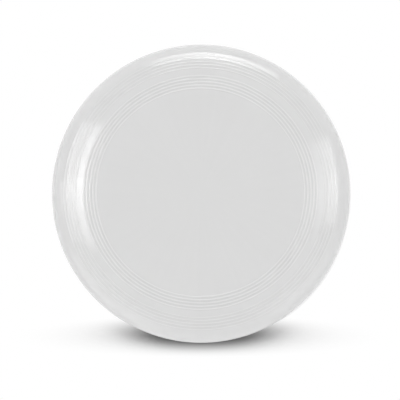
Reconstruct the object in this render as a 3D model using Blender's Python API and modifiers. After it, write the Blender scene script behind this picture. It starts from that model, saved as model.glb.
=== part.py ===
"""Flying disc, moulded in one piece.

A flat flight plate runs into a domed border that carries two bands of raised rings. The border turns
down over a rounded shoulder into a heavy rim, whose side tucks in to a rounded lip with a flat seat.
Lengths are metres, +Z is up along the spin axis, and the lip stands on z = 0.
"""

import math

import bpy

# Overall sizes
OUTER_DIAMETER = 0.273      # across the widest part of the rim
HEIGHT = 0.032              # from the lip's seat to the top of the flat plate
PLATE_THICKNESS = 0.00195   # flight plate and domed border

# Border and rim
BORDER_WIDTH = 0.0437       # in plan, from the flat plate's edge to the widest part of the rim
DOME_RADIUS = 0.110         # crown of the border, tangent to the flat plate
SHOULDER_RADIUS = 0.0148    # outside turn from the border down into the rim
LIP_LEAN = math.radians(14.5)   # how far the rim's side leans in where it meets the lip
LIP_ROUND = 0.0009          # rounding on both edges of the lip
LIP_SEAT = 0.0015           # width of the flat seat under the lip

# Flight rings, measured along the skin
RINGS_PER_BAND = 5
RING_WIDTH = 0.00162
RING_VALLEY = 0.00126       # plain strip between neighbouring rings
RING_BEVEL = 0.00032        # width of each of a ring's sloping sides
RING_HEIGHT = 0.00011       # at the edges of a ring's top
RING_CROWN = 0.00003        # how much higher the middle of its top is
FIRST_RING_EDGE = 0.00093   # from the flat plate's edge to the foot of the first ring
PLAIN_STRIP = 0.00581       # smooth strip between the two bands of rings

# Gate mark under the middle of the plate
GATE_DIAMETER = 0.009
GATE_DEPTH = 0.0004
GATE_TAPER = 0.0003         # how much wider the mark is at its foot

# Facets
TURN_STEPS = 64
SHOULDER_STEPS = 7
SIDE_STEPS = 3
LIP_STEPS = 3
FILLET_STEPS = 5
UNDERSIDE_STEPS = 4

PLASTIC_COLOUR = (0.70, 0.70, 0.70, 1.0)
PLASTIC_ROUGHNESS = 0.08

# Places worked out from the sizes above
WIDEST_RADIUS = OUTER_DIAMETER / 2
PLATE_RADIUS = WIDEST_RADIUS - BORDER_WIDTH
DOME_CENTRE_Z = HEIGHT - DOME_RADIUS
SHOULDER_CENTRE_R = WIDEST_RADIUS - SHOULDER_RADIUS
SHOULDER_SLOPE = math.asin((SHOULDER_CENTRE_R - PLATE_RADIUS) / (DOME_RADIUS - SHOULDER_RADIUS))
DOME_LENGTH = DOME_RADIUS * SHOULDER_SLOPE
WIDEST_Z = DOME_CENTRE_Z + (DOME_RADIUS - SHOULDER_RADIUS) * math.cos(SHOULDER_SLOPE)


def clear_scene():
    for thing in list(bpy.data.objects):
        bpy.data.objects.remove(thing, do_unlink=True)


def polar(centre, radius, angle):
    """The (r, z) point of a circle, with the angle turning up from the outward direction."""
    return (centre[0] + radius * math.cos(angle), centre[1] + radius * math.sin(angle))


def arc(centre, radius, start, end, steps):
    return [polar(centre, radius, start + (end - start) * i / steps) for i in range(steps + 1)]


def skin(distance, lift=0.0):
    """The (r, z) point this far along the outer skin from the flat plate's edge, lifted off the skin."""
    if distance < DOME_LENGTH:
        slope = distance / DOME_RADIUS
        centre, radius = (PLATE_RADIUS, DOME_CENTRE_Z), DOME_RADIUS
    else:
        slope = SHOULDER_SLOPE + (distance - DOME_LENGTH) / SHOULDER_RADIUS
        centre, radius = (SHOULDER_CENTRE_R, WIDEST_Z), SHOULDER_RADIUS
    return polar(centre, radius + lift, math.pi / 2 - slope)


def ring_centres():
    """Where the rings' crowns lie along the skin, the inner band first."""
    pitch = RING_WIDTH + RING_VALLEY
    band_length = RINGS_PER_BAND * pitch - RING_VALLEY
    inner_start = FIRST_RING_EDGE + RING_WIDTH / 2
    outer_start = inner_start + band_length + PLAIN_STRIP
    return [start + pitch * i for start in (inner_start, outer_start) for i in range(RINGS_PER_BAND)]


def ring_points(centre):
    """One ring from foot to foot: a sloping side, the crowned top and the other side."""
    foot = RING_WIDTH / 2
    edge = foot - RING_BEVEL
    middle = RING_HEIGHT + RING_CROWN
    across = ((-foot, 0.0), (-edge, RING_HEIGHT), (0.0, middle), (edge, RING_HEIGHT), (foot, 0.0))
    return [skin(centre + distance, lift) for distance, lift in across]


def top_points():
    """Plate, rings and shoulder, from the spin axis out to the widest part of the rim."""
    points = [(0.0, HEIGHT), (PLATE_RADIUS, HEIGHT)]
    for centre in ring_centres():
        points += ring_points(centre)
    rings_end = ring_centres()[-1] + RING_WIDTH / 2
    skin_end = DOME_LENGTH + SHOULDER_RADIUS * (math.pi / 2 - SHOULDER_SLOPE)
    for i in range(1, SHOULDER_STEPS + 1):
        points.append(skin(rings_end + (skin_end - rings_end) * i / SHOULDER_STEPS))
    return points


def rim_points():
    """The rim's side, its lip and the inner wall up to the underside's fillet, going down and round."""
    side_radius = (WIDEST_Z - LIP_ROUND * (1 - math.sin(LIP_LEAN))) / math.sin(LIP_LEAN)
    side = arc((WIDEST_RADIUS - side_radius, WIDEST_Z), side_radius, 0.0, -LIP_LEAN, SIDE_STEPS)
    outer_round_r = side[-1][0] - LIP_ROUND * math.cos(LIP_LEAN)
    inner_round_r = outer_round_r - LIP_SEAT
    outer_round = arc((outer_round_r, LIP_ROUND), LIP_ROUND, -LIP_LEAN, -math.pi / 2, LIP_STEPS)
    inner_round = arc((inner_round_r, LIP_ROUND), LIP_ROUND, -math.pi / 2, -math.pi, LIP_STEPS)
    return side[1:] + outer_round[1:] + inner_round


def underside_points(wall_r):
    """The fillet above the inner wall, the underside of border and plate, and the gate mark."""
    turn_r = SHOULDER_CENTRE_R + SHOULDER_RADIUS * math.sin(SHOULDER_SLOPE)
    turn_z = WIDEST_Z + SHOULDER_RADIUS * math.cos(SHOULDER_SLOPE)
    reach = wall_r - turn_r + PLATE_THICKNESS * math.sin(SHOULDER_SLOPE)
    fillet = reach / (1 - math.sin(SHOULDER_SLOPE))
    fillet_z = turn_z - (PLATE_THICKNESS + fillet) * math.cos(SHOULDER_SLOPE)
    level = math.pi / 2
    tangent = level - SHOULDER_SLOPE
    dome = (PLATE_RADIUS, DOME_CENTRE_Z)
    points = arc((wall_r - fillet, fillet_z), fillet, 0.0, tangent, FILLET_STEPS)
    points += arc(dome, DOME_RADIUS - PLATE_THICKNESS, tangent, level, UNDERSIDE_STEPS)[1:]
    gate_foot = HEIGHT - PLATE_THICKNESS
    gate_r = GATE_DIAMETER / 2
    points += [(gate_r + GATE_TAPER, gate_foot), (gate_r, gate_foot - GATE_DEPTH)]
    return points + [(0.0, gate_foot - GATE_DEPTH)]


def plastic():
    material = bpy.data.materials.new("moulded_polyethylene")
    material.use_nodes = True
    shader = material.node_tree.nodes["Principled BSDF"]
    shader.inputs["Base Color"].default_value = PLASTIC_COLOUR
    shader.inputs["Roughness"].default_value = PLASTIC_ROUGHNESS
    shader.inputs["Metallic"].default_value = 0.0
    return material


def turned(name, points, collection):
    """A closed (r, z) profile, whose two ends lie on the spin axis, turned about that axis."""
    mesh = bpy.data.meshes.new(name)
    mesh.from_pydata([(r, 0.0, z) for r, z in points], [(i, i + 1) for i in range(len(points) - 1)], [])
    piece = bpy.data.objects.new(name, mesh)
    collection.objects.link(piece)
    screw = piece.modifiers.new("turn", "SCREW")
    screw.axis = "Z"
    screw.angle = 2 * math.pi
    screw.steps = TURN_STEPS
    screw.render_steps = TURN_STEPS
    screw.use_merge_vertices = True
    screw.merge_threshold = 0.00001
    screw.use_smooth_shade = True
    return piece


def main():
    clear_scene()
    collection = bpy.data.collections.new("flying_disc")
    bpy.context.scene.collection.children.link(collection)
    rim = rim_points()
    profile = top_points() + rim + underside_points(rim[-1][0])
    disc = turned("disc", profile, collection)
    disc.data.materials.append(plastic())


main()
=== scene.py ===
import math

import bpy
from mathutils import Matrix, Vector


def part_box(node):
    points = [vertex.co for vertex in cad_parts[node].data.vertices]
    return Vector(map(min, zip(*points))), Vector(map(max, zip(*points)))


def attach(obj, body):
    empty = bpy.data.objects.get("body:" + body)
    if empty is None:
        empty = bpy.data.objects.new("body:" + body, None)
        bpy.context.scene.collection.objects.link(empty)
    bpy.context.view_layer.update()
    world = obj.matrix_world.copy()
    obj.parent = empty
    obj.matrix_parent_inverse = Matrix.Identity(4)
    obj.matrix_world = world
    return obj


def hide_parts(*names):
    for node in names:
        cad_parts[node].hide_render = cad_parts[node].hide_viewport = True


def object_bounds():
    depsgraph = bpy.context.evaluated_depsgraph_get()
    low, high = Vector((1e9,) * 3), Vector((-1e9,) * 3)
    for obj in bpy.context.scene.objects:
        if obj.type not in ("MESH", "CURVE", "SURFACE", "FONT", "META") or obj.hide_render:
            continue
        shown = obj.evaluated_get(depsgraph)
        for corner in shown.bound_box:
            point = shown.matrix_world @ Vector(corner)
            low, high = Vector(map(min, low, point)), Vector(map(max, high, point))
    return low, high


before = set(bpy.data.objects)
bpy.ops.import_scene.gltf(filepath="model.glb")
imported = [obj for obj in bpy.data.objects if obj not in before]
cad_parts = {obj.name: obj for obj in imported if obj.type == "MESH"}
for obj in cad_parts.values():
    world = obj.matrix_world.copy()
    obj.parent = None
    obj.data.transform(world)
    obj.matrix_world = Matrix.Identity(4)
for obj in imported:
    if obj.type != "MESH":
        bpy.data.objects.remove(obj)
cadBox = [list(corner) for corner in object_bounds()]
scene = bpy.context.scene
scene.view_settings.view_transform = "Standard"
print("frame loaded:", sorted(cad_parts))

quarterTurn = math.pi / 2


def mm(length):
    return length / 1000


def hexToLinear(hexText):  # "#DADADA" in sRGB to the linear colour that a shader works in
    channels = [int(hexText[i:i + 2], 16) / 255 for i in (1, 3, 5)]
    linear = [c / 12.92 if c <= 0.04045 else ((c + 0.055) / 1.055) ** 2.4 for c in channels]
    return (*linear, 1.0)


def addNode(tree, kind, settings=None, links=None):  # keys are sockets, by name or number, or properties
    node = tree.nodes.new(kind)
    for key, value in (settings or {}).items():
        if isinstance(key, int) or key in node.inputs:
            node.inputs[key].default_value = value
        else:
            setattr(node, key, value)
    for key, source in (links or {}).items():
        tree.links.new(source, node.inputs[key])
    return node


# The moulding's section in millimetres, turned about the spin axis. A pair holds a value for the inner
# band of rings and one for the outer band.
moulding = {
    "plateTop": 32.0,
    "wall": 1.95,
    "borderWidth": 43.7,          # in plan, from the flat plate's edge to the widest part of the rim
    "domeRadius": 110.0,
    "shoulderRadius": 14.8,
    "lipLean": math.radians(14.5),
    "lipRound": 0.9,
    "lipSeat": 1.5,
    "ringsPerBand": 5,
    "ringPitch": 2.88,
    "firstCrown": (1.74, 20.69),  # along the skin, from the plate's edge to each band's first ring
    "ringWidth": (1.62, 1.3),
    "ringBevel": (0.22, 0.24),    # width of each of a ring's sloping sides
    "ringEase": 0.05,             # rounding of a ring's corners
    "ringHeight": 0.1,            # at the edges of a ring's top
    "ringCrown": (0.04, 0.03),    # how much higher the middle of its top is
    "bandEnd": 0.4,               # from the feet at a band's two ends to where its painted shading stops
    "bandPaintedShading": (0.75, 0.4),      # how strongly crowns are painted lighter and valleys darker, painted light and shade
    "partingHeight": 0.05,        # witness line where the two halves of the mould met
    "partingWidth": 0.3,
    "gateRadius": 4.5,
    "gateDepth": 0.4,
    "gateTaper": 0.3,             # how much wider the gate mark is at its foot
    "plateSteps": 5,
    "ringSteps": 8,               # over a ring's side and its two eased corners
    "stripSteps": 6,
    "shoulderSteps": 28,
    "sideSteps": 10,
    "lipSteps": 6,
    "filletSteps": 12,
    "undersideSteps": 10,
    "facets": 300,                # in one turn
    "weld": 0.005,                # closes the turn, and its points on the axis
}


def arcPoints(centre, radius, start, end, steps):
    turns = [start + (end - start) * i / steps for i in range(steps + 1)]
    return [(centre[0] + radius * math.cos(t), centre[1] + radius * math.sin(t)) for t in turns]


def ringLift(m, band, distance):  # at this distance from a ring's middle, with sharp corners
    foot = m["ringWidth"][band] / 2
    edge = foot - m["ringBevel"][band]
    if abs(distance) < edge:
        return m["ringHeight"] + m["ringCrown"][band] * (1 - (distance / edge) ** 2)
    return m["ringHeight"] * max(foot - abs(distance), 0) / m["ringBevel"][band]


def ringHalf(m, band):  # half a ring, crown to foot: (distance from its middle, lift), with eased corners
    ease = m["ringEase"]
    foot = m["ringWidth"][band] / 2
    start = foot - m["ringBevel"][band] - 2 * ease
    step = (foot + 2 * ease - start) / m["ringSteps"]
    half = []
    for distance in [0, start / 2] + [start + step * i for i in range(m["ringSteps"] + 1)]:
        around = [ringLift(m, band, distance + ease * side) for side in (-1, 0, 0, 1)]
        half.append((distance, sum(around) / len(around)))
    return half


def mouldingSection(m, outerRadius):  # each point is (r, z, painted crown light, painted valley shade, satin)
    plateRadius = outerRadius - m["borderWidth"]
    domeCentre = (plateRadius, m["plateTop"] - m["domeRadius"])
    turnR = outerRadius - m["shoulderRadius"]
    slope = math.asin((turnR - plateRadius) / (m["domeRadius"] - m["shoulderRadius"]))
    widestZ = domeCentre[1] + (m["domeRadius"] - m["shoulderRadius"]) * math.cos(slope)
    domeLength = m["domeRadius"] * slope
    skinEnd = domeLength + m["shoulderRadius"] * (quarterTurn - slope)

    def skinPoint(distance, lift=0.0):  # so far along the skin from the plate's edge, lifted square to it
        if distance < domeLength:
            tilt = distance / m["domeRadius"]
            centre, radius = domeCentre, m["domeRadius"] + lift
        else:
            tilt = slope + (distance - domeLength) / m["shoulderRadius"]
            centre, radius = (turnR, widestZ), m["shoulderRadius"] + lift
        return (centre[0] + radius * math.sin(tilt), centre[1] + radius * math.cos(tilt))

    def plainSkin(start, end, steps):  # the points between two places on the skin
        step = (end - start) / steps
        return [(*skinPoint(start + step * i), 0, 0, 0) for i in range(1, steps)]

    plateShares = [i / m["plateSteps"] for i in range(m["plateSteps"] + 1)]
    section = [(plateRadius * share, m["plateTop"], 0, 0, 0) for share in plateShares]

    # Two bands of rings, with a smooth strip before the outer one
    for band, paintedShading in enumerate(m["bandPaintedShading"]):
        half = ringHalf(m, band)
        wholeRing = [(-distance, lift) for distance, lift in half[:0:-1]] + half
        crowns = [m["firstCrown"][band] + m["ringPitch"] * ring for ring in range(m["ringsPerBand"])]
        reach = m["ringWidth"][band] / 2 + m["bandEnd"]
        bandStart = crowns[0] - reach
        if band > 0:
            section += plainSkin(bandStop, bandStart, m["stripSteps"])
        section.append((*skinPoint(bandStart), 0, 0, 0))
        for crown in crowns:
            for distance, lift in wholeRing:
                # Crown points get painted light and valley points get painted shade
                share = lift / half[0][1]
                section.append((*skinPoint(crown + distance, lift), paintedShading * share, paintedShading * (1 - share), 0))
        bandStop = crowns[-1] + reach
        section.append((*skinPoint(bandStop), 0, 0, 0))
    section += plainSkin(bandStop, skinEnd, m["shoulderSteps"])

    # Parting line, the rim's side and the lip
    halfLine = m["partingWidth"] / 2
    outside = [(outerRadius, widestZ + halfLine), (outerRadius + m["partingHeight"], widestZ)]
    lean, lipRound = m["lipLean"], m["lipRound"]
    sideRadius = (widestZ - lipRound * (1 - math.sin(lean))) / math.sin(lean)
    sideCentre = (outerRadius - sideRadius, widestZ)
    outside += arcPoints(sideCentre, sideRadius, -halfLine / sideRadius, -lean, m["sideSteps"])
    outerRoundR = outside[-1][0] - lipRound * math.cos(lean)
    outside += arcPoints((outerRoundR, lipRound), lipRound, -lean, -quarterTurn, m["lipSteps"])[1:]
    section += [(*point, 0, 0, 0) for point in outside]

    # Inner wall, the fillet above it, the underside and its gate mark
    innerRoundR = outerRoundR - m["lipSeat"]
    inside = arcPoints((innerRoundR, lipRound), lipRound, -quarterTurn, -2 * quarterTurn, m["lipSteps"])
    wallR = innerRoundR - lipRound
    tangentR = turnR + m["shoulderRadius"] * math.sin(slope)
    tangentZ = widestZ + m["shoulderRadius"] * math.cos(slope)
    fillet = (wallR - tangentR + m["wall"] * math.sin(slope)) / (1 - math.sin(slope))
    filletCentre = (wallR - fillet, tangentZ - (m["wall"] + fillet) * math.cos(slope))
    tangent = quarterTurn - slope
    domeInside = m["domeRadius"] - m["wall"]
    inside += arcPoints(filletCentre, fillet, 0.0, tangent, m["filletSteps"])
    inside += arcPoints(domeCentre, domeInside, tangent, quarterTurn, m["undersideSteps"])[1:]
    ceiling = m["plateTop"] - m["wall"]
    gateFace = ceiling - m["gateDepth"]
    inside += [(plateRadius * share, ceiling) for share in plateShares[-2:0:-1]]
    inside += [(m["gateRadius"] + m["gateTaper"], ceiling), (m["gateRadius"], gateFace), (0.0, gateFace)]
    return section + [(*point, 0, 0, 1) for point in inside]


def turnSection(name, section, m):
    mesh = bpy.data.meshes.new(name)
    edges = [(i, i + 1) for i in range(len(section) - 1)]
    mesh.from_pydata([(mm(r), 0.0, mm(z)) for r, z, *marks in section], edges, [])
    # Marks on each point: painted light on ring crowns, painted shade in valleys, and the satin underside
    for column, mark in enumerate(("ringCrown", "ringValleyShade", "satinSide"), start=2):
        values = [point[column] for point in section]
        mesh.attributes.new(mark, "FLOAT", "POINT").data.foreach_set("value", values)
    piece = bpy.data.objects.new(name, mesh)
    scene.collection.objects.link(piece)
    turn = piece.modifiers.new("turn", "SCREW")
    turn.steps = m["facets"]
    turn.render_steps = m["facets"]
    turn.use_merge_vertices = True
    turn.merge_threshold = mm(m["weld"])
    turn.use_smooth_shade = True
    return piece


# Low-density polyethylene, injection moulded. The polished half of the mould leaves the top with a waxy
# gloss and a faint orange peel; the blasted half leaves the underside satin. Pigment clouds it slightly
# and the melt leaves pale streaks as it runs out from the gate. The ring crowns are painted paler and the
# valleys between rings greyer: painted light and shade for how the rings' relief catches the light.
polyethylene = {
    "body": "#DADADA",
    "cloud": "#D8D8D8",
    "streak": "#DBDBDB",
    # Painted light on the ring crowns and painted shade in the valleys between them
    "crown": "#E5E5E5",
    "valleyShade": "#D2D2D2",
    "cloudSize": 38.0,       # mm
    "streaksRound": 90,      # flow streaks in one turn
    "ior": 1.51,
    "gloss": (0.06, 0.09),   # roughness, from the cleanest to the most handled patch
    "handlingSize": 24.0,    # mm
    "satin": 0.4,            # roughness
    "peelSize": 3.0,         # mm; orange peel is nearer 1 mm, too fine to show at this size
    "peelDepth": 0.0016,     # mm
    "grainSize": 0.7,        # mm; blasting is nearer 0.1 mm, drawn coarser so that it shows
    "grainDepth": 0.006,     # mm
}


def mouldedPolyethylene(p):
    material = bpy.data.materials.new("injectionMouldedPolyethylene")
    material.use_nodes = True
    tree = material.node_tree
    shader = tree.nodes["Principled BSDF"]
    shader.inputs["IOR"].default_value = p["ior"]
    place = addNode(tree, "ShaderNodeTexCoord").outputs["Object"]

    def mark(name):
        return addNode(tree, "ShaderNodeAttribute", {"attribute_name": name}).outputs["Fac"]

    def noise(scale, detail, vector=place):
        settings = {"Scale": scale, "Detail": detail}
        return addNode(tree, "ShaderNodeTexNoise", settings, {"Vector": vector}).outputs["Fac"]

    def blend(amount, first, second):  # each side is a hex colour or a socket
        node = addNode(tree, "ShaderNodeMixRGB", links={"Fac": amount})
        for key, colour in (("Color1", first), ("Color2", second)):
            if isinstance(colour, str):
                node.inputs[key].default_value = hexToLinear(colour)
            else:
                tree.links.new(colour, node.inputs[key])
        return node.outputs["Color"]

    # Streaks run straight out, so they change only with the direction from the gate
    flat = addNode(tree, "ShaderNodeVectorMath", {"operation": "MULTIPLY", 1: (1, 1, 0)}, {0: place})
    outward = addNode(tree, "ShaderNodeVectorMath", {"operation": "NORMALIZE"}, {0: flat.outputs[0]})
    streaks = noise(p["streaksRound"] / (2 * math.pi), 1, outward.outputs[0])

    colour = blend(noise(1 / mm(p["cloudSize"]), 2), p["body"], p["cloud"])
    colour = blend(streaks, colour, p["streak"])
    # Painted light and shade: crowns paler and valleys greyer, for how the rings' relief catches the light
    colour = blend(mark("ringCrown"), colour, p["crown"])
    colour = blend(mark("ringValleyShade"), colour, p["valleyShade"])
    tree.links.new(colour, shader.inputs["Base Color"])

    gloss = addNode(tree, "ShaderNodeMapRange", {"To Min": p["gloss"][0], "To Max": p["gloss"][1]},
                    {"Value": noise(1 / mm(p["handlingSize"]), 3)})
    finish = addNode(tree, "ShaderNodeMapRange", {"To Max": p["satin"]},
                     {"Value": mark("satinSide"), "To Min": gloss.outputs[0]})
    tree.links.new(finish.outputs[0], shader.inputs["Roughness"])

    peel = addNode(tree, "ShaderNodeMapRange", {"To Max": mm(p["peelDepth"])},
                   {"Value": noise(1 / mm(p["peelSize"]), 1)})
    grain = addNode(tree, "ShaderNodeMapRange", {"To Max": mm(p["grainDepth"])},
                    {"Value": noise(1 / mm(p["grainSize"]), 2)})
    relief = addNode(tree, "ShaderNodeMapRange", None,
                     {"Value": mark("satinSide"), "To Min": peel.outputs[0], "To Max": grain.outputs[0]})
    bump = addNode(tree, "ShaderNodeBump", {"Distance": 1.0}, {"Height": relief.outputs[0]})
    tree.links.new(bump.outputs["Normal"], shader.inputs["Normal"])
    return material


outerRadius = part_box("disc")[1][0] * 1000
discSection = mouldingSection(moulding, outerRadius)
disc = turnSection("mouldedDisc", discSection, moulding)
disc.data.materials.append(mouldedPolyethylene(polyethylene))
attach(disc, "root")
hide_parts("disc")
print("disc turned:", len(discSection), "points in its section")


def seenRays(tree):  # 1 for a ray that shows a thing to the lens, straight, mirrored or through glass
    path = addNode(tree, "ShaderNodeLightPath")
    shown = path.outputs["Is Camera Ray"]
    for kind in ("Is Glossy Ray", "Is Transmission Ray"):
        rays = {0: shown, 1: path.outputs[kind]}
        shown = addNode(tree, "ShaderNodeMath", {"operation": "MAXIMUM"}, rays).outputs[0]
    return shown


# White paper. To the lens it is plain white, but for the pool by the rim where the disc's shadow falls
# and a narrow ring under the rim; there it takes its light from suns of its own. Its diffuse grey is dark
# and those suns are strong to match, so light thrown back by the rim hardly fills the shadow.
paperFloor = {
    "halfWidth": 6000.0,           # mm, like the places below
    "grey": 0.03,
    # Painted shade: the suns' shares add up to less than one, so the pool is a little grey even where nothing
    # shades it, and its soft oval edge fades the disc's shadow into the white
    "poolCentre": (0.0, -131.0),
    "poolReach": (118.0, 13.5),
    "poolEdge": (0.2, 1.5),        # shares of that reach at which the shadow is whole and gone
    "contactEdge": (134.0, 138.0),
}


def whitePaper(p):
    material = bpy.data.materials.new("whitePaper")
    material.use_nodes = True
    tree = material.node_tree
    tree.nodes.clear()
    place = addNode(tree, "ShaderNodeTexCoord").outputs["Object"]

    def fade(vector, edge):  # 1 inside the nearer edge, 0 outside the farther one
        length = addNode(tree, "ShaderNodeVectorMath", {"operation": "LENGTH"}, {0: vector})
        settings = {"interpolation_type": "SMOOTHSTEP", "From Min": edge[0], "From Max": edge[1],
                    "To Min": 1.0, "To Max": 0.0}
        return addNode(tree, "ShaderNodeMapRange", settings, {"Value": length.outputs["Value"]}).outputs[0]

    centre = (mm(p["poolCentre"][0]), mm(p["poolCentre"][1]), 0)
    reach = (mm(p["poolReach"][0]), mm(p["poolReach"][1]), 1)
    away = addNode(tree, "ShaderNodeVectorMath", {"operation": "SUBTRACT", 1: centre}, {0: place})
    inReach = addNode(tree, "ShaderNodeVectorMath", {"operation": "DIVIDE", 1: reach}, {0: away.outputs[0]})
    pool = fade(inReach.outputs[0], p["poolEdge"])
    contact = fade(place, [mm(edge) for edge in p["contactEdge"]])
    shaded = addNode(tree, "ShaderNodeMath", {"operation": "MAXIMUM"}, {0: pool, 1: contact})

    unseen = addNode(tree, "ShaderNodeMath", {"operation": "SUBTRACT", 0: 1.0}, {1: seenRays(tree)})
    lit = addNode(tree, "ShaderNodeMath", {"operation": "MAXIMUM"},
                  {0: shaded.outputs[0], 1: unseen.outputs[0]})
    white = addNode(tree, "ShaderNodeEmission", {"Strength": 1.0})
    paper = addNode(tree, "ShaderNodeBsdfDiffuse", {"Color": (p["grey"], p["grey"], p["grey"], 1)})
    surface = addNode(tree, "ShaderNodeMixShader", None,
                      {0: lit.outputs[0], 1: white.outputs[0], 2: paper.outputs[0]})
    # From below it is clear, so the underside of the disc can be looked at
    below = addNode(tree, "ShaderNodeNewGeometry").outputs["Backfacing"]
    clear = addNode(tree, "ShaderNodeBsdfTransparent")
    sheet = addNode(tree, "ShaderNodeMixShader", None, {0: below, 1: surface.outputs[0], 2: clear.outputs[0]})
    addNode(tree, "ShaderNodeOutputMaterial", None, {"Surface": sheet.outputs[0]})
    return material


bpy.ops.mesh.primitive_plane_add(size=2 * mm(paperFloor["halfWidth"]), location=(0, 0, cadBox[0][2]))
floor = bpy.context.object
floor.name = "paperFloor"
floor.data.materials.append(whitePaper(paperFloor))
print("floor laid")


def whiteWorld():  # shown and mirrored as white, while the lamps do the lighting
    world = bpy.data.worlds.new("whiteStudio")
    world.use_nodes = True
    tree = world.node_tree
    tree.nodes.clear()
    glow = addNode(tree, "ShaderNodeBackground", {"Color": (1, 1, 1, 1)}, {"Strength": seenRays(tree)})
    addNode(tree, "ShaderNodeOutputWorld", None, {"Surface": glow.outputs[0]})
    return world


def lampGroup(name, thing):  # what a lamp lights
    group = bpy.data.collections.new(name)
    group.objects.link(thing)
    return group


scene.world = whiteWorld()
discLight = lampGroup("discLight", disc)
floorLight = lampGroup("floorLight", floor)


def placeAt(thing, centre, axes):  # the axes are the thing's own x, y and z
    thing.matrix_world = Matrix.Translation(centre) @ Matrix(axes).transposed().to_4x4()


def hangLamp(name, data, centre, axes, group):
    lamp = bpy.data.objects.new(name, data)
    scene.collection.objects.link(lamp)
    placeAt(lamp, centre, axes)
    lamp.light_linking.receiver_collection = group
    return lamp


def hangSoftbox(name, centre, across, up, size, radiance):  # faces the disc
    data = bpy.data.lights.new(name, "AREA")
    data.shape = "RECTANGLE"
    data.size, data.size_y = size
    data.energy = radiance * math.pi * size[0] * size[1]  # the power that gives this radiance
    across, up = Vector(across).normalized(), Vector(up).normalized()
    if across.cross(up).dot(Vector(centre)) < 0:
        across = -across
    lamp = hangLamp(name, data, centre, (across, up, across.cross(up)), discLight)
    lamp.light_linking.blocker_collection = discLight  # so that the paper hides none of them
    lamp.visible_camera = False
    return lamp


# A tent of white cloth, in metres, with the radiance of each sheet. It gives the even light, and the gloss
# doesn't mirror it.
tent = {
    "half": 1.3,
    "height": 1.6,
    "top": 0.8,
    "under": 2.0,  # what white paper throws up at the underside
    "sides": {
        "Left": ((-1, 0), 1.09),
        "Right": ((1, 0), 1.03),
        "Far": ((0, 1), 1.28),
        "Near": ((0, -1), 1.16),
    },
}


def hangTent(t):
    span = 2 * t["half"]
    sheets = []
    for level, height in (("top", t["height"]), ("under", -t["height"])):
        name = "tent" + level.title()
        sheets.append(hangSoftbox(name, (0, 0, height), (1, 0, 0), (0, 1, 0), (span, span), t[level]))
    for side, ((x, y), radiance) in t["sides"].items():
        centre = (x * t["half"], y * t["half"], t["height"] / 2)
        size = (span, t["height"])
        sheets.append(hangSoftbox("tent" + side, centre, (y, -x, 0), (0, 0, 1), size, radiance))
    for sheet in sheets:
        sheet.visible_glossy = False


# Windows that the gloss mirrors, in metres: a plane, and shares of the radiance from edge to edge
diagonal = math.sqrt(0.5)
windows = {
    "leftWindow": {
        "foot": (-1.0, 0, 0), "up": (0.17, 0, 1), "across": (0, 1, 0), "radiance": 7.8,
        "acrossShares": [(-0.25, 0.22), (-0.14, 0.44), (-0.04, 0.54), (0.13, 1.0), (0.3, 0.64), (0.54, 0.5)],
        "upShares": [(0.95, 0.12), (1.02, 0.9), (1.2, 0.77), (1.35, 0.82), (1.6, 1.0), (1.87, 1.0)],
    },
    "leftGlow": {
        "foot": (-1.0, 0, 0), "up": (0.17, 0, 1), "across": (0, 1, 0), "radiance": 2.1,
        "acrossShares": [(-0.1, 0.1), (0.06, 1.0), (0.16, 0.1)],
        "upShares": [(0.4, 0.1), (0.95, 1.0)],
    },
    "rightWindow": {
        "foot": (1.0, 0, 0), "up": (-0.12, 0, 1), "across": (0, 1, 0), "radiance": 5.7,
        "acrossShares": [(-0.15, 0.4), (-0.02, 0.66), (0.12, 1.0), (0.25, 0.8), (0.47, 0.62)],
        "upShares": [(1.03, 1.0), (1.3, 1.0), (1.7, 0.45), (2.08, 0.45), (2.23, 0.06), (3.1, 0.06)],
    },
    "farWindow": {
        "foot": (0, 1.2, 0), "up": (0, 0, 1), "across": (1, 0, 0), "radiance": 9.3,
        "acrossShares": [(-0.48, 0.35), (-0.06, 0.7), (0.1, 1.0), (0.32, 0.62), (0.68, 0.4)],
        "upShares": [(0.79, 0.68), (1.1, 0.73), (1.51, 1.0)],
    },
    "nearLeftWindow": {
        "foot": (-0.85, -0.85, 0), "up": (0, 0, 1), "across": (-diagonal, diagonal, 0), "radiance": 0.95,
        "acrossShares": [(-0.6, 0.3), (-0.45, 0.8), (0.0, 1.0), (0.42, 0.95), (0.52, 0.4)],
        "upShares": [(0.05, 1.0), (1.7, 1.0), (1.9, 0.3), (2.7, 0.2)],
    },
    "nearRightWindow": {
        "foot": (0.85, -0.85, 0), "up": (0, 0, 1), "across": (-diagonal, -diagonal, 0), "radiance": 0.9,
        "acrossShares": [(-0.7, 0.3), (-0.35, 0.6), (0.0, 1.0), (0.15, 1.0), (0.33, 0.6), (0.45, 0.2)],
        "upShares": [(0.1, 0.5), (0.6, 0.75), (1.0, 1.0), (1.75, 1.0), (1.95, 0.5), (2.7, 0.4)],
    },
}


def shareAlong(tree, coordinate, stops):  # runs straight from stop to stop
    low, high = stops[0][0], stops[-1][0]
    along = addNode(tree, "ShaderNodeMapRange", {"From Min": low, "From Max": high}, {"Value": coordinate})
    ramp = addNode(tree, "ShaderNodeValToRGB", None, {"Fac": along.outputs[0]})
    elements = ramp.color_ramp.elements
    while len(elements) < len(stops):
        elements.new(1.0)
    for element, (position, share) in zip(elements, stops):
        element.position = (position - low) / (high - low)
        element.color = (share, share, share, 1)
    return ramp.outputs["Color"]


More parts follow.
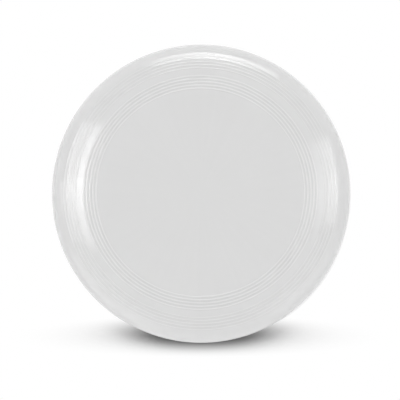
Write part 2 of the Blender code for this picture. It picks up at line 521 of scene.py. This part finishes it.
def hangWindow(name, w):
    across, up = Vector(w["across"]), Vector(w["up"])
    left, right = w["acrossShares"][0][0], w["acrossShares"][-1][0]
    low, high = w["upShares"][0][0], w["upShares"][-1][0]
    centre = Vector(w["foot"]) + across * (left + right) / 2 + up * (low + high) / 2
    lamp = hangSoftbox(name, centre, across, up, (right - left, (high - low) * up.length), w["radiance"])
    lamp.visible_diffuse = False
    lamp.data.use_nodes = True
    tree = lamp.data.node_tree
    place = addNode(tree, "ShaderNodeNewGeometry").outputs["Position"]
    sideways = addNode(tree, "ShaderNodeVectorMath", {"operation": "DOT_PRODUCT", 1: across}, {0: place})
    height = addNode(tree, "ShaderNodeVectorMath", {"operation": "DOT_PRODUCT", 1: (0, 0, 1)}, {0: place})
    shares = {0: shareAlong(tree, sideways.outputs["Value"], w["acrossShares"]),
              1: shareAlong(tree, height.outputs["Value"], w["upShares"])}
    glow = addNode(tree, "ShaderNodeMath", {"operation": "MULTIPLY"}, shares)
    tree.links.new(glow.outputs[0], tree.nodes["Emission"].inputs["Strength"])


# Suns for the paper alone, in degrees: how far from overhead they stand, which way round from +Y and how
# wide they look. The share is how much of full white each gives the paper where nothing shades it.
floorSuns = {
    "sunLeft": {"polar": 72, "azimuth": -80, "width": 28, "share": 0.09},
    "sunRight": {"polar": 72, "azimuth": 80, "width": 28, "share": 0.09},
    "sunFarLeft": {"polar": 48, "azimuth": -30, "width": 43, "share": 0.3},
    "sunFarRight": {"polar": 48, "azimuth": 30, "width": 43, "share": 0.3},
    "sunFar": {"polar": 20, "azimuth": 0, "width": 59, "share": 0.12},
}


def hangSun(name, s):
    polar, azimuth = math.radians(s["polar"]), math.radians(s["azimuth"])
    data = bpy.data.lights.new(name, "SUN")
    data.energy = math.pi * s["share"] / math.cos(polar) / paperFloor["grey"]
    data.angle = math.radians(s["width"])
    level = Vector((math.sin(azimuth), math.cos(azimuth), 0))
    toSun = level * math.sin(polar) + Vector((0, 0, math.cos(polar)))
    across = Vector((math.cos(azimuth), -math.sin(azimuth), 0))
    hangLamp(name, data, toSun, (across, toSun.cross(across), toSun), floorLight)


hangTent(tent)
for name, w in windows.items():
    hangWindow(name, w)
for name, s in floorSuns.items():
    hangSun(name, s)
print("lamps hung:", len(bpy.data.lights))

# Camera over the disc, a little off its axis, with the picture's top towards +Y
view = {
    "distance": 2.0,                # m
    "sensor": 36.0,                 # mm, like the lens and the target
    "lens": 196.9,
    "target": (-0.8, -6.24, 13.0),
    "lean": (1.8, -2.8),            # degrees off the spin axis, towards +X and +Y
}
cameraData = bpy.data.cameras.new("camera")
cameraData.sensor_width = view["sensor"]
cameraData.lens = view["lens"]
camera = bpy.data.objects.new("camera", cameraData)
scene.collection.objects.link(camera)
scene.camera = camera
back = Vector([math.tan(math.radians(angle)) for angle in view["lean"]] + [1.0]).normalized()
across = Vector((0, 1, 0)).cross(back).normalized()
eye = Vector([mm(part) for part in view["target"]]) + back * view["distance"]
placeAt(camera, eye, (across, back.cross(across), back))
print("camera set:", view["lens"], "mm lens")
